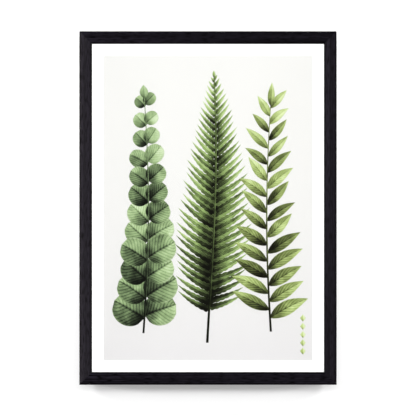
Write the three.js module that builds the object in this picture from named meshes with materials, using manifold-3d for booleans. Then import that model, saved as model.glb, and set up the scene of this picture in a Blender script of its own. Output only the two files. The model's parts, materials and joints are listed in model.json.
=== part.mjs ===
// A framed A3 art print that hangs on a wall: four mitred rails of black-stained wood hold a pane of
// glass, the printed paper, a corrugated card filler and a hardboard backing. Turn buttons on the
// back swing aside to let the print out, and a sawtooth plate on the top rail hangs on one nail.
//
// Millimetres. +Z is up, +X is to the viewer's right and +Y points into the wall, so the picture
// faces -Y. The origin is the hanging point: the middle notch of the sawtooth plate, in the plane of
// the rails' back faces.
import * as THREE from "three";
import { mergeVertices } from "three/addons/utils/BufferGeometryUtils.js";
import Module from "manifold-3d";

const wasm = await Module();
wasm.setup();

// The moulding and the opening that shows the print
const sightWidth = 292;
const sightHeight = 413;
const railWidth = 15.7;
const railDepth = 16;
const rabbetWidth = 5;
const lipThickness = 5;
const outerEdgeRadius = 1.2;
const sightEdgeRadius = 0.8;
const backEdgeChamfer = 0.5;
const faceCrown = 0.15;

// What lies in the rabbet, from the front to the back
const paperWidth = 297;
const paperHeight = 420;
const sheetPlay = 0.5;
const glassThickness = 2;
const inkRoom = 0.5;
const paperThickness = 0.3;
const fillerThickness = 4.6;
const backingThickness = 3;

// Clearances between pieces that touch, and round pieces that go into the wood
const touchGap = 0.1;
const swingGap = 0.3;
const boreGap = 0.2;

// How far a cutting tool runs out past the surface that it cuts
const toolOverrun = 1;

// Turn buttons and their screws
const buttonThickness = 1.2;
const buttonPivotRadius = 4;
const buttonTipRadius = 3.2;
const buttonReach = 14;
const screwShankRadius = 1.3;
const screwHeadRadius = 3;
const screwHeadHeight = 1.5;
const screwHeadEdge = 1.1;
const screwDepth = 9;
const screwPoint = 2;
const driveLength = 3.2;
const driveWidth = 0.8;
const driveDepth = 0.9;
const buttonsFromMiddle = { long: 120, short: 80 };

// The sawtooth plate and its two nails
const plateLength = 46;
const plateHeight = 8;
const plateThickness = 0.8;
const plateLift = 2;
const plateArchFoot = 30;
const plateArchTop = 25;
const toothDepth = 1.8;
const toothPitch = 3;
const toothCount = 7;
const notchWidth = 2.7;
const nailSpacing = 38;
const nailShankRadius = 0.7;
const nailHeadRadius = 1.7;
const nailHeadHeight = 0.6;
const nailHeadEdge = 0.35;
const nailPoint = 1.4;
const nailDepth = 7;

// The steel corner wedges and the bumpers on the back
const wedgeLeg = 4.5;
const wedgeHalfAngle = THREE.MathUtils.degToRad(67.5);
const wedgeThickness = 0.6;
const wedgeDepth = 8;
const bumperRadius = 4.5;
const bumperHeight = 3.8;
const bumperEdge = 1.2;
const bumperFromCorner = 14;

// Worked out from the sizes above
const outerHeight = sightHeight + 2 * railWidth;
const outerWidth = sightWidth + 2 * railWidth;
const backLand = railWidth - rabbetWidth;
const landMiddle = rabbetWidth + backLand / 2;
const lipBack = -railDepth + lipThickness;
const sheetWidth = sightWidth + 2 * (rabbetWidth - sheetPlay);
const sheetHeight = sightHeight + 2 * (rabbetWidth - sheetPlay);
const plateMiddle = plateHeight / 2 - toothDepth;
const pictureMiddle = plateMiddle + backLand / 2 - outerHeight / 2;

const blackWood = new THREE.MeshStandardMaterial({ color: "#19151a", roughness: 0.5, metalness: 0 });
const pictureGlass = new THREE.MeshStandardMaterial({
  color: "#ffffff",
  roughness: 0.05,
  metalness: 0,
  transparent: true,
  opacity: 0.15,
});
const whitePaper = new THREE.MeshStandardMaterial({ color: "#f8f8f6", roughness: 0.85, metalness: 0 });
const corrugatedCard = new THREE.MeshStandardMaterial({ color: "#b08a5c", roughness: 0.9, metalness: 0 });
const brownHardboard = new THREE.MeshStandardMaterial({ color: "#8a6844", roughness: 0.8, metalness: 0 });
const zincSteel = new THREE.MeshStandardMaterial({ color: "#b9bab8", roughness: 0.35, metalness: 0.9 });
const softRubber = new THREE.MeshStandardMaterial({ color: "#d6d5cf", roughness: 0.6, metalness: 0 });

// Turns a closed geometry into a solid that can be cut, and back
function solidOf(geometry) {
  const bare = geometry.clone();
  bare.deleteAttribute("normal");
  bare.deleteAttribute("uv");
  const merged = mergeVertices(bare, 1e-4);
  return new wasm.Manifold(
    new wasm.Mesh({
      numProp: 3,
      vertProperties: merged.getAttribute("position").array,
      triVerts: new Uint32Array(merged.index.array),
    }),
  );
}

function geometryOf(solid) {
  const mesh = solid.getMesh();
  const geometry = new THREE.BufferGeometry();
  geometry.setAttribute("position", new THREE.BufferAttribute(mesh.vertProperties, 3));
  geometry.setIndex(new THREE.BufferAttribute(mesh.triVerts, 1));
  geometry.computeVertexNormals();
  return geometry;
}

// Cuts every tool out of a body
function cut(body, tools) {
  let solid = solidOf(body);
  for (const tool of tools) solid = solid.subtract(solidOf(tool));
  return geometryOf(solid);
}

// A flat plate parallel to the wall: the outline's x and y become X and Z, between two depths
function plate(outline, front, back, curveSegments = 8) {
  const geometry = new THREE.ExtrudeGeometry(outline, {
    depth: back - front,
    bevelEnabled: false,
    curveSegments,
  });
  return geometry.rotateX(Math.PI / 2).translate(0, back, 0);
}

function rectangle(width, height) {
  const outline = new THREE.Shape();
  outline.moveTo(-width / 2, -height / 2);
  outline.lineTo(width / 2, -height / 2);
  outline.lineTo(width / 2, height / 2);
  outline.lineTo(-width / 2, height / 2);
  outline.closePath();
  return outline;
}

// A round piece that points into the wood: the profile's x is its radius and its y runs along Y
function turned(profile, sides = 16) {
  return new THREE.LatheGeometry(
    profile.map(([radius, y]) => new THREE.Vector2(radius, y)),
    sides,
  );
}

function bore(radius, depth, sides = 16) {
  return turned([[0, -depth], [radius, -depth], [radius, toolOverrun], [0, toolOverrun]], sides);
}

// The profile of a round head with a rounded rim, from its underside's rim to the middle of its top
function headProfile(radius, underside, top, edge) {
  const steps = 4;
  const rim = [];
  for (let i = 0; i <= steps; i++) {
    const turn = (i / steps) * (Math.PI / 2);
    rim.push([radius - edge + edge * Math.cos(turn), top - edge + edge * Math.sin(turn)]);
  }
  return [[radius, underside], ...rim, [0, top]];
}

function named(name, geometry, material) {
  const mesh = new THREE.Mesh(geometry, material);
  mesh.name = name;
  return mesh;
}

// The moulding's section. x runs outwards from the sight edge and y from the front to the back
function railSection() {
  const section = new THREE.Shape();
  section.moveTo(0, lipBack);
  section.lineTo(0, -railDepth + sightEdgeRadius);
  section.absarc(sightEdgeRadius, -railDepth + sightEdgeRadius, sightEdgeRadius, Math.PI, 1.5 * Math.PI);
  section.quadraticCurveTo(railWidth / 2, -railDepth - 2 * faceCrown, railWidth - outerEdgeRadius, -railDepth);
  section.absarc(
    railWidth - outerEdgeRadius,
    -railDepth + outerEdgeRadius,
    outerEdgeRadius,
    1.5 * Math.PI,
    2 * Math.PI,
  );
  section.lineTo(railWidth, -backEdgeChamfer);
  section.lineTo(railWidth - backEdgeChamfer, 0);
  section.lineTo(rabbetWidth, 0);
  section.lineTo(rabbetWidth, lipBack);
  section.closePath();
  return section;
}

// A rail that runs along Z with its sight edge at x = 0. Each end is mitred at 45 degrees: its
// points slide along the rail by their distance from the sight edge
function mitredRail(sightLength) {
  const rail = new THREE.ExtrudeGeometry(railSection(), { depth: 1, bevelEnabled: false, curveSegments: 5 });
  const points = rail.getAttribute("position");
  for (let i = 0; i < points.count; i++) {
    const end = points.getZ(i) > 0.5 ? 1 : -1;
    points.setZ(i, end * (sightLength / 2 + points.getX(i) - touchGap / 2));
  }
  return rail;
}

// The outline of a corner wedge, a steel V across the mitre. Its point is towards the outer corner,
// which is along +X here, and grown widens it into the slot that it is pressed into
function wedgeOutline(grown) {
  const half = wedgeThickness / 2 + grown;
  const leg = wedgeLeg + grown;
  const along = new THREE.Vector2(-Math.cos(wedgeHalfAngle), Math.sin(wedgeHalfAngle));
  const across = new THREE.Vector2(along.y, -along.x);
  const point = half / Math.sin(wedgeHalfAngle);
  const end = along.clone().multiplyScalar(leg);
  const outer = end.clone().addScaledVector(across, half);
  const inner = end.clone().addScaledVector(across, -half);
  const outline = new THREE.Shape();
  outline.moveTo(point, 0);
  outline.lineTo(outer.x, outer.y);
  outline.lineTo(inner.x, inner.y);
  outline.lineTo(-point, 0);
  outline.lineTo(inner.x, -inner.y);
  outline.lineTo(outer.x, -outer.y);
  outline.closePath();
  return outline;
}

// Puts a plate made round the origin onto the middle of a mitre, at one end of a rail
function ontoMitre(geometry, sightLength, end) {
  return geometry
    .rotateY(-end * Math.PI / 4)
    .translate(landMiddle, 0, end * (sightLength / 2 + landMiddle));
}

function wedgeSlots(sightLength) {
  return [-1, 1].map((end) =>
    ontoMitre(plate(wedgeOutline(touchGap), -wedgeDepth - boreGap, toolOverrun), sightLength, end),
  );
}

function turnButton() {
  const lean = Math.acos((buttonPivotRadius - buttonTipRadius) / buttonReach);
  const outline = new THREE.Shape();
  outline.absarc(0, 0, buttonPivotRadius, -Math.PI + lean, Math.PI - lean);
  outline.absarc(-buttonReach, 0, buttonTipRadius, Math.PI - lean, Math.PI + lean);
  outline.closePath();
  const hole = new THREE.Path();
  hole.absarc(0, 0, screwShankRadius + boreGap + touchGap, 0, 2 * Math.PI, true);
  outline.holes.push(hole);
  return plate(outline, swingGap, swingGap + buttonThickness);
}

function buttonScrew() {
  const underHead = swingGap + buttonThickness + touchGap;
  const top = underHead + screwHeadHeight;
  const body = turned([
    [0, -screwDepth],
    [screwShankRadius, -screwDepth + screwPoint],
    [screwShankRadius, underHead],
    ...headProfile(screwHeadRadius, underHead, top, screwHeadEdge),
  ]);
  const drive = [
    new THREE.BoxGeometry(driveLength, 2 * driveDepth, driveWidth).translate(0, top, 0),
    new THREE.BoxGeometry(driveWidth, 2 * driveDepth, driveLength).translate(0, top, 0),
  ];
  return cut(body, drive);
}

// The sawtooth plate: a pressed strip whose middle arches clear of the wood, with notches along its
// lower edge
function sawtoothPlate() {
  const half = [
    [plateLength / 2, touchGap],
    [plateArchFoot / 2, touchGap],
    [plateArchTop / 2, touchGap + plateLift],
  ];
  const woodSide = [...half, ...half.map(([x, y]) => [-x, y]).reverse()];
  const wallSide = woodSide.map(([x, y]) => [x, y + plateThickness]).reverse();
  const strip = new THREE.Shape([...woodSide, ...wallSide].map(([x, y]) => new THREE.Vector2(x, y)));
  const body = new THREE.ExtrudeGeometry(strip, { depth: plateHeight, bevelEnabled: false });
  body.translate(0, 0, -toothDepth);

  const arch = { front: touchGap - toolOverrun, back: touchGap + plateLift + plateThickness + toolOverrun };
  const notches = [];
  for (let tooth = 0; tooth < toothCount; tooth++) {
    const middle = (tooth - (toothCount - 1) / 2) * toothPitch;
    const notch = new THREE.Shape();
    notch.moveTo(middle, 0);
    notch.lineTo(middle - notchWidth / 2, -toothDepth);
    notch.lineTo(middle - notchWidth / 2, -toothDepth - toolOverrun);
    notch.lineTo(middle + notchWidth / 2, -toothDepth - toolOverrun);
    notch.lineTo(middle + notchWidth / 2, -toothDepth);
    notch.closePath();
    notches.push(plate(notch, arch.front, arch.back));
  }
  const holes = [-1, 1].map((side) =>
    bore(nailShankRadius + boreGap, toolOverrun, 12)
      .translate(side * nailSpacing / 2, plateThickness, plateMiddle),
  );
  return cut(body, [...notches, ...holes]);
}

function hangerNail() {
  const underHead = touchGap + plateThickness + touchGap;
  return turned(
    [
      [0, -nailDepth],
      [nailShankRadius, -nailDepth + nailPoint],
      [nailShankRadius, underHead],
      ...headProfile(nailHeadRadius, underHead, underHead + nailHeadHeight, nailHeadEdge),
    ],
    12,
  );
}

function wallBumper() {
  return turned([[0, touchGap], ...headProfile(bumperRadius, touchGap, bumperHeight, bumperEdge)], 24);
}

// The frame's four sides. Each side's group is turned about Y, so that its X points outwards
const sides = [
  { name: "right", turn: 0, sightHalf: sightWidth / 2, sightLength: sightHeight, buttons: "long" },
  { name: "top", turn: -Math.PI / 2, sightHalf: sightHeight / 2, sightLength: sightWidth, buttons: "short" },
  { name: "left", turn: Math.PI, sightHalf: sightWidth / 2, sightLength: sightHeight, buttons: "long" },
  { name: "bottom", turn: Math.PI / 2, sightHalf: sightHeight / 2, sightLength: sightWidth, buttons: "short" },
];

// The two buttons of a side, as the rail's own Z and the name of the place that it comes to
function buttonPlaces(side) {
  const names = {
    right: ["lower", "upper"],
    top: ["right", "left"],
    left: ["upper", "lower"],
    bottom: ["left", "right"],
  };
  return [-1, 1].map((end, i) => ({
    name: `${side.name}_${names[side.name][i]}`,
    along: end * buttonsFromMiddle[side.buttons],
  }));
}

function addSide(picture, side) {
  const facing = new THREE.Group();
  facing.rotation.y = side.turn;
  picture.add(facing);
  const rail = new THREE.Group();
  rail.position.x = side.sightHalf;
  facing.add(rail);

  const screwBores = buttonPlaces(side).map(({ along }) =>
    bore(screwShankRadius + boreGap, screwDepth + boreGap).translate(landMiddle, 0, along),
  );
  const nailBores = side.name === "top"
    ? [-1, 1].map((end) =>
        bore(nailShankRadius + boreGap, nailDepth + boreGap, 12)
          .translate(landMiddle, 0, end * nailSpacing / 2),
      )
    : [];
  const wood = cut(mitredRail(side.sightLength), [
    ...wedgeSlots(side.sightLength),
    ...screwBores,
    ...nailBores,
  ]);
  rail.add(named(`rail_${side.name}`, wood, blackWood));

  for (const { name, along } of buttonPlaces(side)) {
    const button = named(`turn_button_${name}`, turnButton(), zincSteel);
    const screw = named(`button_screw_${name}`, buttonScrew(), zincSteel);
    for (const piece of [button, screw]) {
      piece.position.set(landMiddle, 0, along);
      rail.add(piece);
    }
  }
}

function addWedges(picture) {
  for (const [name, x, z] of [
    ["top_right", 1, 1],
    ["top_left", -1, 1],
    ["bottom_left", -1, -1],
    ["bottom_right", 1, -1],
  ]) {
    const wedge = named(
      `corner_wedge_${name}`,
      plate(wedgeOutline(0), -wedgeDepth, -touchGap),
      zincSteel,
    );
    wedge.rotation.y = -Math.atan2(z, x);
    wedge.position.set(x * (sightWidth / 2 + landMiddle), 0, z * (sightHeight / 2 + landMiddle));
    picture.add(wedge);
  }
}

// The sheets in the rabbet, stacked from the lip to the back
function addSheets(picture) {
  const sheets = [
    ["glass_pane", sheetWidth, sheetHeight, glassThickness, touchGap, pictureGlass],
    ["art_print", paperWidth, paperHeight, paperThickness, inkRoom, whitePaper],
    ["filler_card", sheetWidth, sheetHeight, fillerThickness, touchGap, corrugatedCard],
    ["backing_board", sheetWidth, sheetHeight, backingThickness, touchGap, brownHardboard],
  ];
  let front = lipBack;
  for (const [name, width, height, thickness, gap, material] of sheets) {
    front += gap;
    picture.add(named(name, plate(rectangle(width, height), front, front + thickness), material));
    front += thickness;
  }
}

function addHanger(root) {
  root.add(named("sawtooth_plate", sawtoothPlate(), zincSteel));
  for (const [name, end] of [["left", -1], ["right", 1]]) {
    const nail = named(`hanger_nail_${name}`, hangerNail(), zincSteel);
    nail.position.set(end * nailSpacing / 2, 0, plateMiddle);
    root.add(nail);
  }
}

function addBumpers(picture) {
  for (const [name, end] of [["left", -1], ["right", 1]]) {
    const bumper = named(`wall_bumper_${name}`, wallBumper(), softRubber);
    bumper.position.set(end * (outerWidth / 2 - bumperFromCorner), 0, -(sightHeight / 2 + landMiddle));
    picture.add(bumper);
  }
}

const root = new THREE.Group();
const picture = new THREE.Group();
picture.position.z = pictureMiddle;
root.add(picture);

for (const side of sides) addSide(picture, side);
addWedges(picture);
addSheets(picture);
addBumpers(picture);
addHanger(root);

export default root;
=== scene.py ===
"""A framed A3 botanical print in a black-stained wooden moulding, hung on a white wall.

Metres, +Z up. The picture faces -Y and its back is towards +Y. The origin is the hanging point.
"""

import json
import math
import random

import bmesh
import bpy
from mathutils import Matrix, Vector

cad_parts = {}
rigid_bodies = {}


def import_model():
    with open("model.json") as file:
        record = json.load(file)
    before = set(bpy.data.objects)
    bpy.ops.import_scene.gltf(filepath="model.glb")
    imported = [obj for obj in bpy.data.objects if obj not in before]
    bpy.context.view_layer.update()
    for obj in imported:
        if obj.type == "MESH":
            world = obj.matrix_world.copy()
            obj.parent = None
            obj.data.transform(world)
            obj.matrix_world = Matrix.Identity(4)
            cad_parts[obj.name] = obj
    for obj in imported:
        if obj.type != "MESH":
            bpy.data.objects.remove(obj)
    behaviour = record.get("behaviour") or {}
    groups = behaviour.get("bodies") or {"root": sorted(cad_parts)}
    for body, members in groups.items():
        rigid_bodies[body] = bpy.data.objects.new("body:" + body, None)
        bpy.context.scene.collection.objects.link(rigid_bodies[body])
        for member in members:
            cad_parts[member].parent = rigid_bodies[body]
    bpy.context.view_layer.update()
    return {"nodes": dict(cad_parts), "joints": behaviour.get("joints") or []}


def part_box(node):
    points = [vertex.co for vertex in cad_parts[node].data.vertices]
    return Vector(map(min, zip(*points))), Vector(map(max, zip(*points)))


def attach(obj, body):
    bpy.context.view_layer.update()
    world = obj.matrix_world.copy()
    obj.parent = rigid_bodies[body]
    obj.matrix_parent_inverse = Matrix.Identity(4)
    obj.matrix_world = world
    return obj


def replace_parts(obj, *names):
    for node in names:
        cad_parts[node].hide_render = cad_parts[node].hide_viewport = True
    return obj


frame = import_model()
MM = 0.001

# The four rails are one moulding of open-grained ash, stained black and sealed with a satin
# lacquer. Each length is mitred at 45 degrees, glued, and eased along its edges.


def linear(hex_colour):
    """An sRGB hex colour as the linear RGBA that a socket takes."""
    parts = [int(hex_colour[i : i + 2], 16) / 255 for i in (1, 3, 5)]
    return [c / 12.92 if c <= 0.04045 else ((c + 0.055) / 1.055) ** 2.4 for c in parts] + [1.0]


def add(tree, kind, inputs=None, stops=(), **settings):
    """Adds a node. An input takes a node, a socket, a number or a hex colour, and stops fill a ramp."""
    made = tree.nodes.new(kind)
    for name, value in settings.items():
        setattr(made, name, value)
    for name, value in (inputs or {}).items():
        if isinstance(value, bpy.types.Node):
            value = value.outputs[0]
        if isinstance(value, bpy.types.NodeSocket):
            tree.links.new(value, made.inputs[name])
        elif isinstance(value, str):
            made.inputs[name].default_value = linear(value)
        else:
            made.inputs[name].default_value = value
    for number, (place, colour) in enumerate(stops):
        if number > 1:
            made.color_ramp.elements.new(1.0)
        made.color_ramp.elements[number].position = place
        made.color_ramp.elements[number].color = linear(colour)
    return made


def new_material(name):
    made = bpy.data.materials.new(name)
    made.use_nodes = True
    made.node_tree.nodes.clear()
    return made, made.node_tree


def black_stained_ash():
    """Black ash: dull pores run lengthwise between long satin streaks, and the colour is darkened along
    the rounded edges as painted shade. The pores are drawn twice as wide as real ones, so that they show."""
    streak_length, streak_width = 600 * MM, 1.3 * MM
    pore_length, pore_width = 10 * MM, 1.2 * MM
    inner_shade_end, outer_shade_start = 0.14, 0.88
    pore_dullness = 0.2
    material, tree = new_material("black_stained_ash")
    grain = add(tree, "ShaderNodeUVMap", uv_map="grain")
    long = add(
        tree, "ShaderNodeMapping", {"Vector": grain, "Scale": (1 / streak_length, 1 / streak_width, 1)}
    )
    fine = add(
        tree, "ShaderNodeMapping", {"Vector": grain, "Scale": (1 / pore_length, 1 / pore_width, 1)}
    )
    streaks = add(
        tree,
        "ShaderNodeTexNoise",
        {"Vector": long, "Scale": 1.0, "Detail": 2.0},
        noise_dimensions="2D",
    )
    pores = add(
        tree,
        "ShaderNodeTexNoise",
        {"Vector": fine, "Scale": 1.0, "Detail": 2.0},
        noise_dimensions="2D",
    )
    groove = add(
        tree,
        "ShaderNodeMapRange",
        {"Value": pores, "From Min": 0.50, "From Max": 0.66, "To Min": 0.0, "To Max": 1.0},
    )
    stain = add(
        tree,
        "ShaderNodeValToRGB",
        {"Fac": streaks},
        stops=[(0.32, "#09080b"), (0.5, "#131116"), (0.68, "#211e26")],
    )
    pored = add(tree, "ShaderNodeMix", {0: groove, 6: stain, 7: "#030203"}, data_type="RGBA")
    place = add(tree, "ShaderNodeAttribute", attribute_name="from_sight_edge").outputs["Fac"]
    # Painted shade: the colour is darkened over the first and last strips of each rail's width, along its
    # sight edge and its outer edge.
    inner = add(
        tree,
        "ShaderNodeMapRange",
        {"Value": place, "From Min": 0.0, "From Max": inner_shade_end, "To Min": 0.0, "To Max": 1.0},
    )
    outer = add(
        tree,
        "ShaderNodeMapRange",
        {"Value": place, "From Min": outer_shade_start, "From Max": 1.0, "To Min": 1.0, "To Max": 0.0},
    )
    edge_shade = add(tree, "ShaderNodeMath", {0: inner, 1: outer}, operation="MULTIPLY")
    edge_shaded_colour = add(
        tree, "ShaderNodeVectorMath", {0: pored.outputs[2], "Scale": edge_shade}, operation="SCALE"
    )
    dulled = add(
        tree,
        "ShaderNodeMapRange",
        {"Value": streaks, "From Min": 0.3, "From Max": 0.7, "To Min": 0.30, "To Max": 0.44},
    )
    thirsty = add(
        tree,
        "ShaderNodeMapRange",
        {"Value": edge_shade, "From Min": 0.2, "From Max": 0.9, "To Min": 0.4, "To Max": 0.0},
    )
    satin = add(tree, "ShaderNodeMath", {0: groove, 1: pore_dullness, 2: dulled}, operation="MULTIPLY_ADD")
    rough = add(tree, "ShaderNodeMath", {0: satin, 1: thirsty})
    relief = add(tree, "ShaderNodeMath", {0: streaks, 1: groove}, operation="SUBTRACT")
    bump = add(tree, "ShaderNodeBump", {"Strength": 0.35, "Distance": 0.12 * MM, "Height": relief})
    lengthwise = add(tree, "ShaderNodeTangent", direction_type="UV_MAP", uv_map="grain")
    skin = add(
        tree,
        "ShaderNodeBsdfPrincipled",
        {
            "Base Color": edge_shaded_colour,
            "Roughness": rough,
            "IOR": 1.5,
            "Specular Tint": "#fdf2ff",
            "Anisotropic": 0.7,
            "Anisotropic Rotation": 0.25,
            "Tangent": lengthwise,
            "Normal": bump,
        },
    )
    add(tree, "ShaderNodeOutputMaterial", {"Surface": skin})
    return material


def finish_mesh(name, bm, material, body="frame", smooth_angle=35):
    """Turns a bmesh into a piece that rides on a body, smooth except across its real edges."""
    mesh = bpy.data.meshes.new(name)
    bm.to_mesh(mesh)
    bm.free()
    mesh.shade_smooth()
    mesh.set_sharp_from_angle(angle=math.radians(smooth_angle))
    mesh.materials.append(material)
    piece = bpy.data.objects.new(name, mesh)
    bpy.context.scene.collection.objects.link(piece)
    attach(piece, body)
    return piece


def round_off(bm, edges, radius, segments):
    bmesh.ops.bevel(
        bm,
        geom=edges,
        offset=radius,
        offset_type="OFFSET",
        affect="EDGES",
        segments=segments,
        profile=0.5,
        material=-1,
    )


top_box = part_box("rail_top")
foot_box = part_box("rail_bottom")
side_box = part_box("rail_right")
glass_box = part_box("glass_pane")
wedge_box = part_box("corner_wedge_top_left")
front_y = top_box[0].y
rail_width = side_box[1].x - side_box[0].x
picture_middle = (top_box[1].z + foot_box[0].z) / 2
outer_half_width = side_box[1].x
outer_half_height = (top_box[1].z - foot_box[0].z) / 2
rabbet_width = 5 * MM
lip_back = glass_box[0].y - 0.1 * MM
rail_back = wedge_box[1].y - 0.04 * MM
crown = 0.45 * MM
eased = 0.134 * MM
mitre_gap = 0.02 * MM
mitre_edge = 0.08 * MM
ash = black_stained_ash()


def moulding(name, half_length, place, grain_start):
    """One mitred rail, made along X with its sight edge at Z 0 and then put in its place. Its ridge starts
    in front of the solid's face by as much as rounding takes off."""
    bm = bmesh.new()
    ridge = front_y - eased
    section = [
        (0, lip_back),
        (0, ridge + crown),
        (rail_width / 2, ridge),
        (rail_width, ridge + crown),
        (rail_width, rail_back),
        (rabbet_width, rail_back),
        (rabbet_width, lip_back),
    ]
    end = bm.faces.new([bm.verts.new((-half_length, y, out)) for out, y in section])
    swept = bmesh.ops.extrude_face_region(bm, geom=[end])
    far = [v for v in swept["geom"] if isinstance(v, bmesh.types.BMVert)]
    bmesh.ops.translate(bm, verts=far, vec=(2 * half_length, 0, 0))
    for out, y, radius, segments in (
        (rail_width / 2, ridge, 4 * MM, 6),
        (0, ridge + crown, 0.8 * MM, 6),
        (rail_width, ridge + crown, 1.2 * MM, 8),
        (rail_width, rail_back, 0.5 * MM, 2),
    ):
        line = [
            e
            for e in bm.edges
            if all(abs(v.co.z - out) < 1e-6 and abs(v.co.y - y) < 1e-6 for v in e.verts)
        ]
        round_off(bm, line, radius, segments)
    for side in (-1, 1):
        mitre = (side * (half_length - rail_width - mitre_gap), 0, 0)
        cut = bmesh.ops.bisect_plane(
            bm,
            geom=bm.verts[:] + bm.edges[:] + bm.faces[:],
            plane_co=mitre,
            plane_no=(side, 0, -1),
            clear_outer=True,
        )
        rim = [e for e in cut["geom_cut"] if isinstance(e, bmesh.types.BMEdge)]
        bmesh.ops.holes_fill(bm, edges=rim)
    bmesh.ops.recalc_face_normals(bm, faces=bm.faces)
    cut_edges = [e for e in bm.edges if any(abs(f.normal.x) > 0.6 for f in e.link_faces)]
    round_off(bm, cut_edges, mitre_edge, 1)
    reach = bm.verts.layers.float.new("from_sight_edge")
    for v in bm.verts:
        v[reach] = v.co.z / rail_width
    uv = bm.loops.layers.uv.new("grain")
    to_back = 60 * MM
    for face in bm.faces:
        for loop in face.loops:
            x, y, out = loop.vert.co
            turned = (y - front_y) * (1 if out > rail_width / 2 else -1)
            across = out + to_back if face.normal.y > 0.6 else out + turned
            loop[uv].uv = (x + grain_start, across + 0.37 * grain_start)
    bmesh.ops.transform(bm, matrix=place, verts=bm.verts)
    piece = finish_mesh(name, bm, ash)
    return piece


for name, turn, half_length, sight_reach, grain_start in (
    ("top", 0, outer_half_width, outer_half_height - rail_width, 0.0),
    ("bottom", math.pi, outer_half_width, outer_half_height - rail_width, 1.9),
    ("left", -math.pi / 2, outer_half_height, outer_half_width - rail_width, 3.1),
    ("right", math.pi / 2, outer_half_height, outer_half_width - rail_width, 4.7),
):
    place = (
        Matrix.Translation((0, 0, picture_middle))
        @ Matrix.Rotation(turn, 4, "Y")
        @ Matrix.Translation((0, 0, sight_reach))
    )
    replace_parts(moulding(f"moulding_{name}", half_length, place, grain_start), f"rail_{name}")

# Four V-shaped wedges of zinc-plated spring steel are pressed into the back of the mitres, one at
# each corner, until they lie flush with the wood. The CAD wedges stay, in a plated finish.


def bright_zinc():
    """Bright zinc on cold-rolled steel: cool grey, with rolling marks and small dull spots."""
    mark_length, mark_width, spot = 6 * MM, 0.35 * MM, 3 * MM
    material, tree = new_material("bright_zinc")
    place = add(tree, "ShaderNodeTexCoord").outputs["Object"]
    rolled = add(
        tree,
        "ShaderNodeMapping",
        {"Vector": place, "Scale": (1 / mark_length, 1 / mark_width, 1 / mark_width)},
    )
    marks = add(tree, "ShaderNodeTexNoise", {"Vector": rolled, "Scale": 1.0, "Detail": 3.0})
    spots = add(tree, "ShaderNodeTexNoise", {"Vector": place, "Scale": 1 / spot, "Detail": 4.0})
    colour = add(
        tree, "ShaderNodeValToRGB", {"Fac": spots}, stops=[(0.35, "#a9adaf"), (0.65, "#cfd1cf")]
    )
    rough = add(
        tree,
        "ShaderNodeMapRange",
        {"Value": marks, "From Min": 0.3, "From Max": 0.7, "To Min": 0.26, "To Max": 0.44},
    )
    bump = add(tree, "ShaderNodeBump", {"Strength": 0.12, "Distance": 0.03 * MM, "Height": marks})
    steel = add(
        tree,
        "ShaderNodeBsdfPrincipled",
        {"Base Color": colour, "Metallic": 1.0, "Roughness": rough, "Normal": bump},
    )
    add(tree, "ShaderNodeOutputMaterial", {"Surface": steel})
    return material


zinc = bright_zinc()
for name, node in frame["nodes"].items():
    if name.startswith("corner_wedge"):
        for place in node.material_slots:
            place.material = zinc

# The pane is 2 mm float glass. It is cut to drop into the rabbet, and its edges are lightly ground.


def float_glass():
    """Clear float glass, smooth on both faces. Light passes straight through so thin a pane."""
    material, tree = new_material("float_glass")
    pane = add(
        tree,
        "ShaderNodeBsdfPrincipled",
        {"Base Color": "#fefffe", "Roughness": 0.0, "IOR": 1.5, "Transmission Weight": 1.0},
    )
    clear = add(tree, "ShaderNodeBsdfTransparent")
    path = add(tree, "ShaderNodeLightPath")
    mixed = add(tree, "ShaderNodeMixShader", {0: path.outputs["Is Shadow Ray"], 1: pane, 2: clear})
    add(tree, "ShaderNodeOutputMaterial", {"Surface": mixed})
    return material


def slab(low, high, edge):
    """A sheet between two corners, with all its edges eased alike."""
    bm = bmesh.new()
    bmesh.ops.create_cube(bm, size=1)
    bmesh.ops.scale(bm, vec=high - low, verts=bm.verts)
    bmesh.ops.translate(bm, vec=(high + low) / 2, verts=bm.verts)
    round_off(bm, bm.edges[:], edge, 2)
    return bm


pane = finish_mesh("window_pane", slab(*glass_box, 0.3 * MM), float_glass(), smooth_angle=10)
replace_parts(pane, "glass_pane")

# The print is an A3 sheet of bright white poster paper. It shows some 15 mm of white margin, and the
# ground inside that is printed in a very pale grey. The ground is made darker towards the foot and the
# sides.
paper_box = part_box("art_print")
ground_half_width = 131.5 * MM
ground_half_height = 191.7 * MM
ground_foot = picture_middle - ground_half_height


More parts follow.
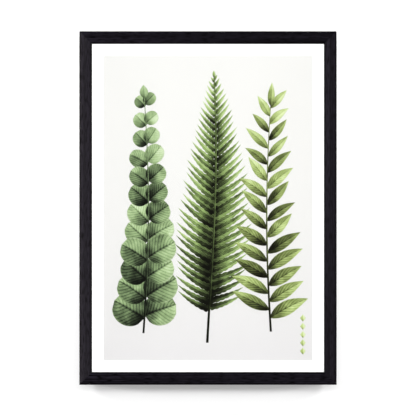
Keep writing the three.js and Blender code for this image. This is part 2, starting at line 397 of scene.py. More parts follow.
def poster_paper(name, head, foot, side_shade):
    """Uncoated poster paper: dull and even, very slightly mottled where the pulp lies thicker."""
    pulp = 1.6 * MM
    late_fall = 2.3
    even_share = 0.45
    material, tree = new_material(name)
    place = add(tree, "ShaderNodeTexCoord").outputs["Object"]
    across, _, height = add(tree, "ShaderNodeSeparateXYZ", {0: place}).outputs
    down = add(
        tree,
        "ShaderNodeMapRange",
        {
            "Value": height,
            "From Min": ground_foot + 2 * ground_half_height,
            "From Max": ground_foot,
            "To Min": 0.0,
            "To Max": 1.0,
        },
    )
    bent = add(tree, "ShaderNodeMath", {0: down, 1: late_fall}, operation="POWER")
    tint = add(tree, "ShaderNodeMix", {0: bent, 6: head, 7: foot}, data_type="RGBA")
    to_side = add(tree, "ShaderNodeMath", {0: across}, operation="ABSOLUTE")
    shade = add(
        tree,
        "ShaderNodeMapRange",
        {
            "Value": to_side,
            "From Min": even_share * ground_half_width,
            "From Max": ground_half_width,
            "To Min": 1.0,
            "To Max": side_shade,
        },
    )
    mottle = add(tree, "ShaderNodeTexNoise", {"Vector": place, "Scale": 1 / pulp, "Detail": 3.0})
    fibre = add(
        tree,
        "ShaderNodeMapRange",
        {"Value": mottle, "From Min": 0.3, "From Max": 0.7, "To Min": 0.985, "To Max": 1.0},
    )
    dimmed = add(tree, "ShaderNodeMath", {0: shade, 1: fibre}, operation="MULTIPLY")
    shaded = add(
        tree, "ShaderNodeVectorMath", {0: tint.outputs[2], "Scale": dimmed}, operation="SCALE"
    )
    bump = add(tree, "ShaderNodeBump", {"Strength": 0.15, "Distance": 0.02 * MM, "Height": mottle})
    sheet = add(
        tree,
        "ShaderNodeBsdfPrincipled",
        {"Base Color": shaded, "Roughness": 0.9, "Specular IOR Level": 0.25, "Normal": bump},
    )
    add(tree, "ShaderNodeOutputMaterial", {"Surface": sheet})
    return material


bm = slab(*paper_box, 0.04 * MM)
for point, normal in (
    ((-ground_half_width, 0, 0), (1, 0, 0)),
    ((ground_half_width, 0, 0), (1, 0, 0)),
    ((0, 0, ground_foot), (0, 0, 1)),
    ((0, 0, ground_foot + 2 * ground_half_height), (0, 0, 1)),
):
    whole = bm.verts[:] + bm.edges[:] + bm.faces[:]
    bmesh.ops.bisect_plane(bm, geom=whole, plane_co=point, plane_no=normal)
for face in bm.faces:
    at = face.calc_center_median()
    printed = abs(at.x) < ground_half_width and abs(at.z - picture_middle) < ground_half_height
    face.material_index = 1 if printed and face.normal.y < -0.9 else 0
margin_paper = poster_paper("bright_white_paper", "#fbfbfa", "#fbfbfa", 1.0)
ground_paper = poster_paper("pale_printed_ground", "#e3e2e0", "#d8d6d7", 0.975)
sheet = finish_mesh("poster_sheet", bm, margin_paper, smooth_angle=10)
sheet.data.materials.append(ground_paper)
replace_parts(sheet, "art_print")

# The picture is printed ink: three pressed stems side by side, each leaf a thin film on the paper.
# Films that cross lie in layers of their own, so that none cuts another. It is drawn as a
# hand-coloured plate is, with a dark rib, fine veins, a lit half and a paler edge.
INK = 0.004 * MM
LAYER = 0.008 * MM
paper_front = paper_box[0].y
draw = random.Random(11)


def leaf_ink(name, greens, veins, slant, contrast):
    """Matt printing ink in six greens from the shade to the light. A leaf's own map has its width along
    U and its length along V."""
    blotch, speck = 11 * MM, 0.8 * MM
    material, tree = new_material(name)
    leaf_map = add(tree, "ShaderNodeUVMap", uv_map="leaf")
    across, along, _ = add(tree, "ShaderNodeSeparateXYZ", {0: leaf_map}).outputs
    place = add(tree, "ShaderNodeTexCoord").outputs["Object"]
    tone = add(tree, "ShaderNodeAttribute", attribute_name="tone").outputs["Fac"]
    half = add(
        tree,
        "ShaderNodeMapRange",
        {"Value": across, "From Min": 0.0, "From Max": 1.0, "To Min": -1.0, "To Max": 1.0},
    )
    off_rib = add(tree, "ShaderNodeMath", {0: half}, operation="ABSOLUTE")
    swept = add(tree, "ShaderNodeMath", {0: off_rib, 1: -slant, 2: along}, operation="MULTIPLY_ADD")
    phase = add(tree, "ShaderNodeMath", {0: swept, 1: 2 * math.pi * veins}, operation="MULTIPLY")
    beat = add(tree, "ShaderNodeMath", {0: phase}, operation="SINE")
    wash = add(tree, "ShaderNodeTexNoise", {"Vector": place, "Scale": 1 / blotch, "Detail": 4.0})
    grit = add(tree, "ShaderNodeTexNoise", {"Vector": place, "Scale": 1 / speck, "Detail": 2.0})
    light = tone
    for value, low, high, least, most in (
        (beat, 0.1, 1.0, 0.4 * contrast, -1.4 * contrast),
        (half, -0.15, 0.15, -0.09, 0.09),
        (off_rib, 0.0, 0.11, -0.30, 0.0),
        (off_rib, 0.86, 1.0, 0.0, 0.22),
        (along, 0.0, 0.4, -0.40, 0.0),
        (along, 0.4, 1.0, 0.0, 0.18),
        (wash, 0.25, 0.75, -0.16, 0.16),
        (grit, 0.25, 0.75, -0.05, 0.05),
    ):
        part = add(
            tree,
            "ShaderNodeMapRange",
            {"Value": value, "From Min": low, "From Max": high, "To Min": least, "To Max": most},
        )
        light = add(tree, "ShaderNodeMath", {0: light, 1: part})
    stops = list(zip((0.0, 0.2, 0.4, 0.6, 0.8, 1.0), greens))
    colour = add(tree, "ShaderNodeValToRGB", {"Fac": light}, stops=stops)
    ink = add(
        tree,
        "ShaderNodeBsdfPrincipled",
        {"Base Color": colour, "Roughness": 0.85, "Specular IOR Level": 0.2},
    )
    add(tree, "ShaderNodeOutputMaterial", {"Surface": ink})
    return material


def new_plate():
    plate = bmesh.new()
    plate.loops.layers.uv.new("leaf")
    plate.verts.layers.float.new("tone")
    return plate


def lay_film(plate, place, cells, layer, tone):
    """Lays a grid of ink over the shape that place(s, t) gives in mm, s from -1 to 1, t from 0 to 1."""
    uv = plate.loops.layers.uv["leaf"]
    shade = plate.verts.layers.float["tone"]
    grid = bmesh.ops.create_grid(plate, x_segments=cells[0], y_segments=cells[1], size=1)["verts"]
    spots = {v: (v.co.x, (v.co.y + 1) / 2) for v in grid}
    for face in {f for v in grid for f in v.link_faces}:
        for loop in face.loops:
            s, t = spots[loop.vert]
            loop[uv].uv = (s / 2 + 0.5, t)
    for v, (s, t) in spots.items():
        u, w = place(s, t)
        v.co = (u * MM, paper_front - LAYER * (1 + layer), ground_foot + w * MM)
        v[shade] = tone


def lay_leaf(plate, base, angle, length, width, outline, bend=0.0, tone=0.5, layer=0, cells=(4, 14)):
    """A leaf from its base, at an angle from upright, bending by so much on its way to the tip."""

    def place(s, t):
        chord = angle + bend * t / 2
        here = angle + bend * t
        reach = length * t
        out = s * width / 2 * outline(t)
        return (
            base[0] + reach * math.sin(chord) + out * math.cos(here),
            base[1] + reach * math.cos(chord) - out * math.sin(here),
        )

    lay_film(plate, place, cells, layer, tone)


def heading(path, t):
    """The angle from upright at which a path runs."""
    step = 0.01
    u0, w0 = path(t - step)
    u1, w1 = path(t + step)
    return math.atan2(u1 - u0, w1 - w0)


def lay_stalk(plate, path, foot, tip, tone, layer):
    """A stalk along a path, so many millimetres wide at its foot and at its tip."""

    def place(s, t):
        u, w = path(t)
        angle = heading(path, t)
        out = s * (foot + (tip - foot) * t) / 2
        return u + out * math.cos(angle), w - out * math.sin(angle)

    lay_film(plate, place, (2, 48), layer, tone)


def print_plate(name, plate, ink):
    """Gives every film its hair's thickness, with its face towards the viewer, as one piece."""
    turned = [f for f in plate.faces if f.normal.y > 0]
    bmesh.ops.reverse_faces(plate, faces=turned)
    bmesh.ops.solidify(plate, geom=plate.faces[:], thickness=INK)
    finish_mesh(name, plate, ink, smooth_angle=180)


def round_leaf(t):
    return (4 * t * (1 - t)) ** 0.46


def lance_leaf(t):
    return max(0.0, math.sin(math.pi * t**0.82)) ** 0.95


def toothed_leaflet(t):
    return min(1.0, 40 * t) ** 0.5 * (1 - t**1.7) * (0.78 + 0.22 * abs(math.sin(7 * math.pi * t)))


SAGE_GREENS = "#0f110d", "#2b3325", "#5b6c4d", "#8aa173", "#b0c697", "#cddbba"
FERN_GREENS = "#10110b", "#2e3521", "#5e6f43", "#8ca464", "#b2c788", "#cedcae"
OLIVE_GREENS = "#12120a", "#323620", "#657041", "#95a664", "#bacb88", "#d3dfae"

# On the left is a stem with round leaves in pairs, smaller towards the tip.
coin_stem = new_plate()
coin_pairs = 12


def coin_path(t):
    return -84 + 9 * math.sin(2.4 * t + 0.3), 34 + 296 * t


lay_stalk(coin_stem, coin_path, 2.6, 0.9, tone=0.34, layer=9)
for pair in range(coin_pairs):
    share = pair / (coin_pairs - 1)
    t = 0.07 + 0.90 * share
    size = 44 - 27 * share**1.15
    for side in (-1, 1):
        lay_leaf(
            coin_stem,
            coin_path(t + side * 0.006),
            heading(coin_path, t) + side * (1.12 - 0.45 * t + draw.uniform(-0.14, 0.14)),
            size * draw.uniform(0.93, 1.05),
            size * draw.uniform(0.86, 0.98),
            round_leaf,
            bend=side * draw.uniform(-0.1, 0.25),
            tone=0.38 + 0.26 * t + draw.uniform(-0.18, 0.18),
            layer=(2 * pair + (side > 0)) % 8,
            cells=(6, 16),
        )
lay_leaf(coin_stem, coin_path(1), heading(coin_path, 1), 17, 11, lance_leaf, tone=0.66, layer=8)
print_plate("print_round_leaf_stem", coin_stem, leaf_ink("sage_ink", SAGE_GREENS, 9, 0.34, 0.09))

# In the middle is a tall fern frond, with toothed leaflets that shorten to a fine tip. A darker strip
# under the stalk fills in where the leaflets meet it.
frond = new_plate()
frond_pairs = 34
first_leaflet = 0.13


def frond_path(t):
    return 3 + 7 * math.sin(3.0 * t - 0.6), 22 + 334 * t


lay_stalk(frond, frond_path, 3.2, 0.7, tone=0.28, layer=19)
lay_stalk(frond, lambda t: frond_path(first_leaflet + 0.86 * t), 8.0, 2.0, tone=0.24, layer=9)
for pair in range(frond_pairs):
    share = pair / (frond_pairs - 1)
    t = first_leaflet + 0.86 * share
    length = 7 + 48 * math.sin(math.pi * (0.16 + 0.84 * share) ** 0.72) ** 0.8
    for side in (-1, 1):
        lay_leaf(
            frond,
            frond_path(t + side * 0.004),
            heading(frond_path, t) + side * (1.34 - 0.62 * share + draw.uniform(-0.04, 0.04)),
            length * draw.uniform(0.96, 1.03),
            3.5 + 0.13 * length,
            toothed_leaflet,
            bend=-side * (0.42 - 0.20 * share),
            tone=0.36 + 0.30 * share + draw.uniform(-0.12, 0.12),
            layer=10 + 2 * (pair % 4) + (side > 0),
            cells=(4, 28),
        )
lay_leaf(frond, frond_path(1), heading(frond_path, 1), 9, 4, lance_leaf, tone=0.6, layer=18)
print_plate("print_fern_frond", frond, leaf_ink("fern_ink", FERN_GREENS, 9, 0.25, 0.08))

# On the right is a branch with lance-shaped leaves, one at a time and turn about.
branch = new_plate()
branch_leaves = 27


def branch_path(t):
    return 84 - 10 * math.sin(2.1 * t + 0.5), 36 + 284 * t


lay_stalk(branch, branch_path, 2.8, 0.9, tone=0.30, layer=29)
for number in range(branch_leaves):
    share = number / (branch_leaves - 1)
    t = 0.06 + 0.93 * share
    side = -1 if number % 2 else 1
    length = 54 - 22 * share + draw.uniform(-3, 3)
    lay_leaf(
        branch,
        branch_path(t),
        heading(branch_path, t) + side * (0.95 - 0.35 * share + draw.uniform(-0.1, 0.12)),
        length,
        length * draw.uniform(0.29, 0.35),
        lance_leaf,
        bend=side * draw.uniform(-0.15, 0.5),
        tone=0.40 + 0.24 * share + draw.uniform(-0.18, 0.18),
        layer=20 + number % 8,
        cells=(4, 16),
    )
lay_leaf(branch, branch_path(1), heading(branch_path, 1), 30, 9, lance_leaf, tone=0.64, layer=28)
print_plate("print_lance_leaf_branch", branch, leaf_ink("olive_ink", OLIVE_GREENS, 8, 0.30, 0.11))

# Low on the right, a column of small lozenges in the lightest green closes the sheet.
lozenges = new_plate()
lozenge_count, lozenge_pitch = 5, 10.4
for number in range(lozenge_count):
    lay_leaf(
        lozenges,
        (119.5, 7 + lozenge_pitch * number),
        0.0,
        9.0,
        7.4,
        lambda t: 1 - abs(2 * t - 1),
        tone=0.82,
        cells=(4, 8),
    )
print_plate("print_lozenge_column", lozenges, leaf_ink("lozenge_ink", OLIVE_GREENS, 1, 0.0, 0.0))

# Behind the print lies a sheet of corrugated card, which keeps it flat against the glass. It is shut
# in on all sides, so the CAD sheet stays, in unbleached kraft.


def kraft_card():
    """Unbleached kraft card: warm brown and dull, with its flutes showing as faint ribs."""
    flute, fibre = 7.2 * MM, 1.2 * MM
    material, tree = new_material("kraft_card")
    place = add(tree, "ShaderNodeTexCoord").outputs["Object"]
    across = add(tree, "ShaderNodeSeparateXYZ", {0: place})
    phase = add(tree, "ShaderNodeMath", {0: across, 1: 2 * math.pi / flute}, operation="MULTIPLY")
    ribs = add(tree, "ShaderNodeMath", {0: phase}, operation="SINE")
    fibres = add(tree, "ShaderNodeTexNoise", {"Vector": place, "Scale": 1 / fibre, "Detail": 4.0})
    colour = add(
        tree, "ShaderNodeValToRGB", {"Fac": fibres}, stops=[(0.3, "#9c7749"), (0.7, "#bd9765")]
    )
    bump = add(tree, "ShaderNodeBump", {"Strength": 0.2, "Distance": 0.1 * MM, "Height": ribs})
    card = add(
        tree,
        "ShaderNodeBsdfPrincipled",
        {"Base Color": colour, "Roughness": 0.9, "Specular IOR Level": 0.2, "Normal": bump},
    )
    add(tree, "ShaderNodeOutputMaterial", {"Surface": card})
    return material


kraft = kraft_card()
for place in frame["nodes"]["filler_card"].material_slots:
    place.material = kraft

# The back is closed by 3 mm hardboard, hot-pressed from wood fibre and sawn square. It lies in the
# rabbet and is held by the turn buttons.


def hardboard():
    """Hardboard: hot-pressed brown fibre, half-glossy, with dark flecks of bark and paler fibres."""
    fleck, cloud = 1.9 * MM, 40 * MM
    material, tree = new_material("hardboard")
    place = add(tree, "ShaderNodeTexCoord").outputs["Object"]
    clouds = add(tree, "ShaderNodeTexNoise", {"Vector": place, "Scale": 1 / cloud, "Detail": 5.0})
    flecks = add(
        tree,
        "ShaderNodeTexNoise",
        {"Vector": place, "Scale": 1 / fleck, "Detail": 3.0, "Roughness": 0.7},
    )
    base = add(
        tree, "ShaderNodeValToRGB", {"Fac": clouds}, stops=[(0.3, "#85613d"), (0.7, "#8f6a44")]
    )
    dark = add(
        tree,
        "ShaderNodeMapRange",
        {"Value": flecks, "From Min": 0.56, "From Max": 0.70, "To Min": 0.0, "To Max": 0.6},
    )
    pale = add(
        tree,
        "ShaderNodeMapRange",
        {"Value": flecks, "From Min": 0.44, "From Max": 0.30, "To Min": 0.0, "To Max": 0.4},
    )
    flecked = add(tree, "ShaderNodeMix", {0: dark, 6: base, 7: "#4d3521"}, data_type="RGBA")
    fibred = add(
        tree, "ShaderNodeMix", {0: pale, 6: flecked.outputs[2], 7: "#b08c62"}, data_type="RGBA"
    )
    bump = add(tree, "ShaderNodeBump", {"Strength": 0.25, "Distance": 0.05 * MM, "Height": flecks})
    board = add(
        tree,
        "ShaderNodeBsdfPrincipled",
        {"Base Color": fibred.outputs[2], "Roughness": 0.55, "Specular IOR Level": 0.4, "Normal": bump},
    )
    add(tree, "ShaderNodeOutputMaterial", {"Surface": board})
    return material


back_slab = slab(*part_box("backing_board"), 0.25 * MM)
backing = finish_mesh("hardboard_back", back_slab, hardboard(), smooth_angle=10)
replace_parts(backing, "backing_board")

# The turn buttons are stamped from 1.2 mm zinc-plated strip, two to a rail, with rolled-over edges.
# Each swivels on a pan-head screw with a cross recess, from over the board to along the rail.
screw_hole = 1.6 * MM
button_taper = 0.8
rolled_edge = 0.28 * MM


def turn_button(pivot, low, high):
    """A button from its round pivot end to its smaller tip. Half of a disc is slid out to the tip."""
    size = high - low
    pivot_radius = min(size.x, size.z) / 2
    tip_radius = button_taper * pivot_radius
    reach = max(size.x, size.z) - pivot_radius - tip_radius
    middle = (high + low) / 2
    towards = Vector((middle.x - pivot.x, 0, middle.z - pivot.z)).normalized()
    bm = bmesh.new()
    rim = bmesh.ops.create_circle(bm, segments=48, radius=pivot_radius)["verts"]
    slid = [v for v in rim if v.co.x > 1e-7]
    bmesh.ops.scale(bm, vec=(button_taper, button_taper, 1), verts=slid)
    bmesh.ops.translate(bm, vec=(reach, 0, 0), verts=slid)
    bmesh.ops.create_circle(bm, segments=48, radius=screw_hole)
    bmesh.ops.bridge_loops(bm, edges=bm.edges[:])
    raised = bmesh.ops.extrude_face_region(bm, geom=bm.faces[:])
    top = [v for v in raised["geom"] if isinstance(v, bmesh.types.BMVert)]
    bmesh.ops.translate(bm, vec=(0, 0, size.y), verts=top)
    bmesh.ops.recalc_face_normals(bm, faces=bm.faces)
    round_off(bm, [e for e in bm.edges if e.calc_face_angle(0) > 1], rolled_edge, 3)
    up = Vector((0, 1, 0))
    turn = Matrix((towards, up.cross(towards), up)).transposed().to_4x4()
    place = Matrix.Translation((pivot.x, low.y, pivot.z)) @ turn
    bmesh.ops.transform(bm, matrix=place, verts=bm.verts)
    return bm


def lathe(profile, steps=32):
    """Turns a profile of (radius, height) points round the Z axis."""
    bm = bmesh.new()
    points = [bm.verts.new((radius, 0, height)) for radius, height in profile]
    for pair in zip(points, points[1:]):
        bm.edges.new(pair)
    whole = bm.verts[:] + bm.edges[:]
    bmesh.ops.spin(
        bm, geom=whole, cent=(0, 0, 0), axis=(0, 0, 1), angle=2 * math.pi, steps=steps, use_merge=True
    )
    bmesh.ops.remove_doubles(bm, verts=bm.verts, dist=1e-6)
    return bm


def quarter(radius, height, edge, steps=6):
    """The rounded shoulder of a turned head, from its flat top down to its side."""
    turns = [math.pi / 2 * i / steps for i in range(steps + 1)]
    return [
        (radius - edge + edge * math.sin(a), height - edge + edge * math.cos(a)) for a in turns
    ]


def pan_head_screw(low, high, under_head):
    """A pan-head screw along +Z, with a cross recess pressed into its head."""
    head = (high.x - low.x) / 2
    shoulder, shank, point = 1.1 * MM, 1.3 * MM, 2.4 * MM
    slot_half, slot_reach, slot_depth, slot_taper = 0.4 * MM, 1.2 * MM, 0.9 * MM, 0.7
    bm = lathe(
        quarter(head, high.y, shoulder)
        + [(head, under_head), (shank, under_head), (shank, low.y + point), (0, low.y)]
    )
    rim = [e for e in bm.edges if e.is_boundary]
    slot = bmesh.ops.create_grid(bm, x_segments=1, y_segments=1, size=slot_half)["verts"]
    bmesh.ops.translate(bm, vec=(0, 0, high.y), verts=slot)
    cross = set(slot[0].link_faces)
    for edge in list(slot[0].link_faces[0].edges):
        out = ((edge.verts[0].co + edge.verts[1].co) / 2 - Vector((0, 0, high.y))).normalized()
        arm = bmesh.ops.extrude_edge_only(bm, edges=[edge])["geom"]
        tips = [g for g in arm if isinstance(g, bmesh.types.BMVert)]
        bmesh.ops.translate(bm, vec=out * slot_reach, verts=tips)
        cross.update(g for g in arm if isinstance(g, bmesh.types.BMFace))
    lips = [e for f in cross for e in f.edges if e.is_boundary]
    bmesh.ops.triangle_fill(bm, edges=rim + lips, use_beauty=True, normal=(0, 0, 1))
    sunk = bmesh.ops.extrude_face_region(bm, geom=list(cross))["geom"]
    floor = [g for g in sunk if isinstance(g, bmesh.types.BMVert)]
    bmesh.ops.delete(bm, geom=[f for f in cross if f.is_valid], context="FACES")
    bmesh.ops.translate(bm, vec=(0, 0, -slot_depth), verts=floor)
    bmesh.ops.scale(bm, vec=(slot_taper, slot_taper, 1), verts=floor)
    bmesh.ops.recalc_face_normals(bm, faces=bm.faces)
    return bm


for joint in frame["joints"]:
    corner = joint["child"].removeprefix("button_")
    pivot = Vector(joint["pos_m"])
    low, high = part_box(f"turn_button_{corner}")
    button_mesh = turn_button(pivot, low, high)
    button = finish_mesh(f"stamped_button_{corner}", button_mesh, zinc, body=joint["child"])
    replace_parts(button, f"turn_button_{corner}")
    screw_low, screw_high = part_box(f"button_screw_{corner}")
    screw_mesh = pan_head_screw(screw_low, screw_high, high.y + 0.1 * MM)
    along_y = Matrix.Rotation(-math.pi / 2, 4, "X")
    turned = Matrix.Rotation(draw.uniform(0, math.pi / 2), 4, "Z")
    at_pivot = Matrix.Translation((pivot.x, 0, pivot.z)) @ along_y @ turned
    bmesh.ops.transform(screw_mesh, matrix=at_pivot, verts=screw_mesh.verts)
    screw = finish_mesh(f"pan_head_screw_{corner}", screw_mesh, zinc)
    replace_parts(screw, f"button_screw_{corner}")

# The hanger is a strip of 0.8 mm zinc-plated steel, stamped with a row of notches and bent forward
# in the middle so that a wall nail slips behind it. A nail at each end holds it to the top rail.
plate_low, plate_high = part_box("sawtooth_plate")
plate_thickness = 0.8 * MM
tooth_pitch, tooth_width, teeth = 3 * MM, 2.7 * MM, 7
tooth_tips = [tooth_pitch * (i - (teeth - 1) / 2) for i in range(teeth)]
arch_foot, arch_top = 15 * MM, 12.5 * MM
bend_radius, edge_radius = 0.7 * MM, 0.1 * MM
stations = {-arch_foot: 0, arch_foot: 0, -arch_top: 0, arch_top: 0, plate_high.x: 0}
for tip in tooth_tips:
    stations.update({tip - tooth_width / 2: 0, tip: -plate_low.z, tip + tooth_width / 2: 0})
bm = bmesh.new()
start = [bm.verts.new((plate_low.x, plate_low.y, z)) for z in (plate_low.z, plate_high.z)]
edge = bm.edges.new(start)
for x in sorted(stations):
    strip = bmesh.ops.extrude_edge_only(bm, edges=[edge])["geom"]
    edge = next(g for g in strip if isinstance(g, bmesh.types.BMEdge))
    for v in edge.verts:
        v.co.x = x
        v.co.y = plate_high.y - plate_thickness if abs(x) < arch_foot - 1e-6 else plate_low.y
    foot, head = sorted(edge.verts, key=lambda v: v.co.z)
    foot.co.z = plate_low.z + stations[x]
bends = [
    e
    for e in bm.edges
    if abs(e.verts[0].co.x - e.verts[1].co.x) < 1e-6
    and arch_top - 0.5 * MM < abs(e.verts[0].co.x) < arch_foot + 0.5 * MM
]
round_off(bm, bends, bend_radius, 4)
raised = bmesh.ops.extrude_face_region(bm, geom=bm.faces[:])
backs = [v for v in raised["geom"] if isinstance(v, bmesh.types.BMVert)]
bmesh.ops.translate(bm, vec=(0, plate_thickness, 0), verts=backs)
bmesh.ops.recalc_face_normals(bm, faces=bm.faces)
round_off(bm, [e for e in bm.edges if e.calc_face_angle(0) > 1.2], edge_radius, 2)
hanger = finish_mesh("sawtooth_hanger", bm, zinc)
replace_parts(hanger, "sawtooth_plate")

nail_shoulder, nail_radius, nail_point = 0.4 * MM, 0.7 * MM, 1.5 * MM
for side in ("left", "right"):
    low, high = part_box(f"hanger_nail_{side}")
    middle = (low + high) / 2
    head = (high.x - low.x) / 2
    under_head = plate_low.y + plate_thickness + 0.1 * MM
    profile = [(0, high.y)] + quarter(head, high.y, nail_shoulder, 4)
    profile += [(head, under_head), (nail_radius, under_head)]
    profile += [(nail_radius, low.y + nail_point), (0, low.y)]
    bm = lathe(profile, 24)
    bmesh.ops.recalc_face_normals(bm, faces=bm.faces)
    place = Matrix.Translation((middle.x, 0, middle.z)) @ Matrix.Rotation(-math.pi / 2, 4, "X")
    bmesh.ops.transform(bm, matrix=place, verts=bm.verts)
    nail = finish_mesh(f"round_nail_{side}", bm, zinc)
    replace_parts(nail, f"hanger_nail_{side}")

# Two self-adhesive bumpers of soft polyurethane are stuck on at the lower corners, so that the
# picture hangs clear of the wall and stays level.


def soft_polyurethane():
    """Cast polyurethane: milky and slightly yellow, soft-glossy, with light passing a little way in."""
    haze = 2.5 * MM
    material, tree = new_material("soft_polyurethane")
    place = add(tree, "ShaderNodeTexCoord").outputs["Object"]
    cloud = add(tree, "ShaderNodeTexNoise", {"Vector": place, "Scale": 1 / haze, "Detail": 3.0})
    colour = add(
        tree, "ShaderNodeValToRGB", {"Fac": cloud}, stops=[(0.35, "#c9c7bb"), (0.65, "#dedccf")]
    )
    rough = add(
        tree,
        "ShaderNodeMapRange",
        {"Value": cloud, "From Min": 0.3, "From Max": 0.7, "To Min": 0.28, "To Max": 0.38},
    )
    bumper = add(
        tree,
        "ShaderNodeBsdfPrincipled",
        {
            "Base Color": colour,
            "Roughness": rough,
            "IOR": 1.5,
            "Subsurface Weight": 0.35,
            "Subsurface Scale": 1.5 * MM,
        },
    )
    add(tree, "ShaderNodeOutputMaterial", {"Surface": bumper})
    return material


milky = soft_polyurethane()
bumper_shoulder = 1.8 * MM
for side in ("left", "right"):
    low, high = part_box(f"wall_bumper_{side}")
    middle = (low + high) / 2
    radius = (high.x - low.x) / 2
    profile = [(0, high.y)] + quarter(radius, high.y, bumper_shoulder, 8)
    bm = lathe(profile + [(radius, low.y), (0, low.y)], 40)
    bmesh.ops.recalc_face_normals(bm, faces=bm.faces)
    place = Matrix.Translation((middle.x, 0, middle.z)) @ Matrix.Rotation(-math.pi / 2, 4, "X")
    bmesh.ops.transform(bm, matrix=place, verts=bm.verts)
    bumper = finish_mesh(f"soft_bumper_{side}", bm, milky)
    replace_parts(bumper, f"wall_bumper_{side}")

# The picture hangs on a plain white wall over a pale floor. Both are shown to the camera alone, and
# the wall only from its front, so that the back of the picture can be looked at too.


def one_sided_paint(name, colour, glow):
    """Flat emulsion paint, evenly lit as in a studio, with nothing to see from behind."""
    material, tree = new_material(name)
    paint = add(tree, "ShaderNodeBsdfDiffuse", {"Color": colour})
    lit = add(tree, "ShaderNodeEmission", {"Color": "#ffffff", "Strength": glow})
    both = add(tree, "ShaderNodeAddShader", {0: paint, 1: lit})
    clear = add(tree, "ShaderNodeBsdfTransparent")
    seen = add(tree, "ShaderNodeNewGeometry").outputs["Backfacing"]
    mixed = add(tree, "ShaderNodeMixShader", {0: seen, 1: both, 2: clear})
    add(tree, "ShaderNodeOutputMaterial", {"Surface": mixed})
    return material


def backdrop(name, size, place, material):
    bm = bmesh.new()
    bmesh.ops.create_grid(bm, x_segments=1, y_segments=1, size=size)
    bmesh.ops.transform(bm, matrix=place, verts=bm.verts)
    mesh = bpy.data.meshes.new(name)
    bm.to_mesh(mesh)
    bm.free()
    mesh.materials.append(material)
    made = bpy.data.objects.new(name, mesh)
    bpy.context.scene.collection.objects.link(made)
    made.visible_diffuse = False
    made.visible_glossy = False
    made.visible_transmission = False
    made.visible_volume_scatter = False
    made.visible_shadow = False
    return made


bumper_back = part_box("wall_bumper_left")[1].y
upright = Matrix.Rotation(math.pi / 2, 4, "X")
wall_half_size, floor_half_size = 1.35, 40
wall_place = Matrix.Translation((0, bumper_back + 0.2 * MM, picture_middle)) @ upright
wall = backdrop("wall", wall_half_size, wall_place, one_sided_paint("wall_paint", "#f4f4f4", 0.29))
floor_place = Matrix.Translation((0, 0, picture_middle - wall_half_size))
floor = backdrop("floor", floor_half_size, floor_place, one_sided_paint("floor_paint", "#e9e8e6", 0.62))

# The lights are soft boxes. Four pairs at the sides and one above light only the wall. A frontal one
# fills the picture without a glare, and two light the back. A strip on the left, flagged off from the
# rest, gives the upright rails their sheen. Sizes are in metres and powers in watts.


def soft_box(name, at, aim, size, power, glossy=True, diffuse=True):
    light = bpy.data.lights.new(name, "AREA")
    light.shape = "RECTANGLE"
    light.size, light.size_y = size
    light.energy = power
    made = bpy.data.objects.new(name, light)
    bpy.context.scene.collection.objects.link(made)
    made.location = at
    made.rotation_euler = (Vector(aim) - Vector(at)).to_track_quat("-Z", "Y").to_euler()
    made.visible_camera = False
    made.visible_transmission = False
    made.visible_glossy = glossy
    made.visible_diffuse = diffuse
    return made


def light_only(light, receivers, state):
    group = bpy.data.collections.new(f"{light.name}_receivers")
    for number, receiver in enumerate(receivers):
        group.objects.link(receiver)
        group.collection_objects[number].light_linking.link_state = state
    light.light_linking.receiver_collection = group


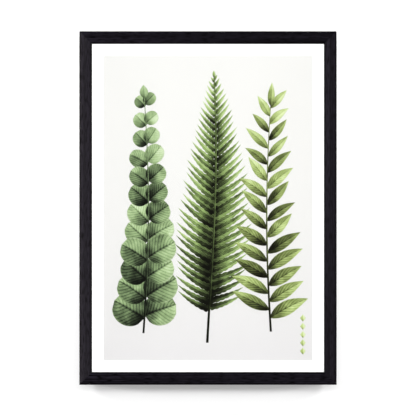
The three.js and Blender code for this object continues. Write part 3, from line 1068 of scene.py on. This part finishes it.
picture_foot = foot_box[0].z
beside = 2.0
for name, off_wall, low, high, depth, power in (
    ("skimming", 0.105, 0.03, 0.13, 0.09, 11),
    ("low", 0.4, 0.13, 0.33, 0.2, 29),
    ("high", 0.4, 0.9, 2.0, 0.2, 86),
    ("wide", 1.5, 0.6, 0.9, 0.6, 12),
):
    for side, x in (("left", -beside), ("right", beside)):
        at = Vector((x, bumper_back - off_wall, picture_foot + (low + high) / 2))
        aim = at + Vector((-x, 0, 0))
        lamp = soft_box(f"wall_{name}_{side}", at, aim, (depth, high - low), power, glossy=False)
        light_only(lamp, [wall], "INCLUDE")
above = Vector((0, bumper_back - 1.0, picture_foot + 0.88))
lamp = soft_box("wall_above", above, above + Vector((0, 1, 0)), (2.0, 1.05), 7.4, glossy=False)
light_only(lamp, [wall], "INCLUDE")
centre = (0, 0, picture_middle)
for lamp in (
    soft_box("front_fill", (0, -4.0, picture_middle), centre, (0.7, 0.7), 207, glossy=False),
    soft_box("back_left", (-0.9, 1.6, 0.5), centre, (1.3, 1.3), 22),
    soft_box("back_right", (0.9, 1.6, 0.5), centre, (1.3, 1.3), 22),
):
    light_only(lamp, [wall, floor], "EXCLUDE")
strip = soft_box("left_strip", (-0.62, -1.02, -0.2), centre, (0.3, 1.3), 3.25, diffuse=False)
light_only(strip, [bpy.data.objects[f"moulding_{side}"] for side in ("left", "right")], "INCLUDE")

# The world is an even room light. It is dimmed where it would mirror in the glass, and the camera
# sees it as plain white.
world = bpy.data.worlds.new("studio")
world.use_nodes = True
world.cycles.sampling_method = "NONE"
tree = world.node_tree
tree.nodes.clear()
path = add(tree, "ShaderNodeLightPath").outputs
room = add(tree, "ShaderNodeBackground", {"Color": "#ffffff", "Strength": 0.18})
dim = add(tree, "ShaderNodeBackground", {"Color": "#ffffff", "Strength": 0.025})
white = add(tree, "ShaderNodeBackground", {"Color": "#ffffff", "Strength": 1.0})
mirrored = add(tree, "ShaderNodeMixShader", {0: path["Is Glossy Ray"], 1: room, 2: dim})
seen = add(tree, "ShaderNodeMixShader", {0: path["Is Camera Ray"], 1: mirrored, 2: white})
add(tree, "ShaderNodeOutputWorld", {"Surface": seen})
bpy.context.scene.world = world
bpy.context.scene.view_settings.view_transform = "Standard"
bpy.context.scene.view_settings.look = "None"

# The camera stands square to the wall at the height of the picture's middle, well back.
view_width = 522.5 * MM
stand_off = 2.4
lens = bpy.data.cameras.new("camera")
lens.sensor_width = 36
lens.lens = lens.sensor_width * stand_off / view_width
camera = bpy.data.objects.new("camera", lens)
bpy.context.scene.collection.objects.link(camera)
camera.location = (0, front_y - stand_off, picture_middle)
camera.rotation_euler = (math.pi / 2, 0, 0)
bpy.context.scene.camera = camera
